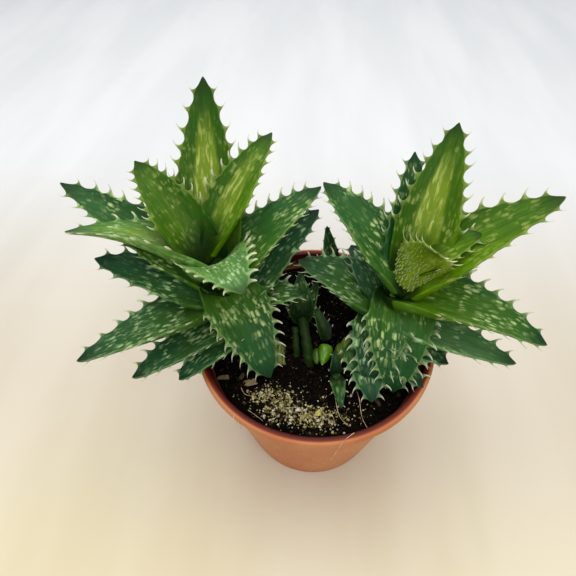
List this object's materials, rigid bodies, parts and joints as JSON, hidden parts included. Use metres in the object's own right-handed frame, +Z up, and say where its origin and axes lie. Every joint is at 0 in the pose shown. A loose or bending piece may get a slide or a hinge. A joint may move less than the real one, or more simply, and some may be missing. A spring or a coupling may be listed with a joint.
{
  "type": "potted aloe squarrosa",
  "caption": "Potted succulent: two leafy stems of thick channelled leaves with hooked edge teeth, young shoots and dark soil in a round plastic nursery pot.",
  "frame": {"origin": "centre of the pot's flat underside", "axes": "+Z up out of the pot; -Y towards the viewer of the picture; +X towards the right-hand plant"},
  "size_m": [0.2019, 0.1185, 0.1628],
  "materials": {
    "pot": "satin",
    "soil": "matte",
    "stem": "matte",
    "young_leaf": "satin",
    "leaf": "satin",
    "old_leaf": "satin",
    "pup": "satin",
    "dry_base": "matte"
  },
  "bodies": {
    "root": {"pot": "pot", "soil": "soil", "left_stem": "stem", "right_stem": "stem", "left_leaf_01": "young_leaf", "left_leaf_02": "young_leaf", "left_leaf_03": "young_leaf", "left_leaf_04": "young_leaf", "left_leaf_05": "leaf", "left_leaf_06": "leaf", "left_leaf_07": "leaf", "left_leaf_08": "leaf", "left_leaf_09": "old_leaf", "left_leaf_10": "old_leaf", "left_leaf_11": "old_leaf", "left_leaf_12": "old_leaf", "left_leaf_13": "old_leaf", "left_leaf_14": "old_leaf", "left_leaf_15": "old_leaf", "right_leaf_01": "young_leaf", "right_leaf_02": "young_leaf", "right_leaf_03": "young_leaf", "right_leaf_04": "young_leaf", "right_leaf_05": "leaf", "right_leaf_06": "leaf", "right_leaf_07": "leaf", "right_leaf_08": "leaf", "right_leaf_09": "old_leaf", "right_leaf_10": "old_leaf", "right_leaf_11": "old_leaf", "right_leaf_12": "old_leaf", "right_leaf_13": "old_leaf", "right_leaf_14": "old_leaf", "right_leaf_15": "old_leaf", "right_leaf_16": "old_leaf", "middle_offset": "old_leaf", "back_offset": "old_leaf", "front_offset": "old_leaf", "pup": "pup", "old_leaf_base": "dry_base"}
  },
  "joints": []
}
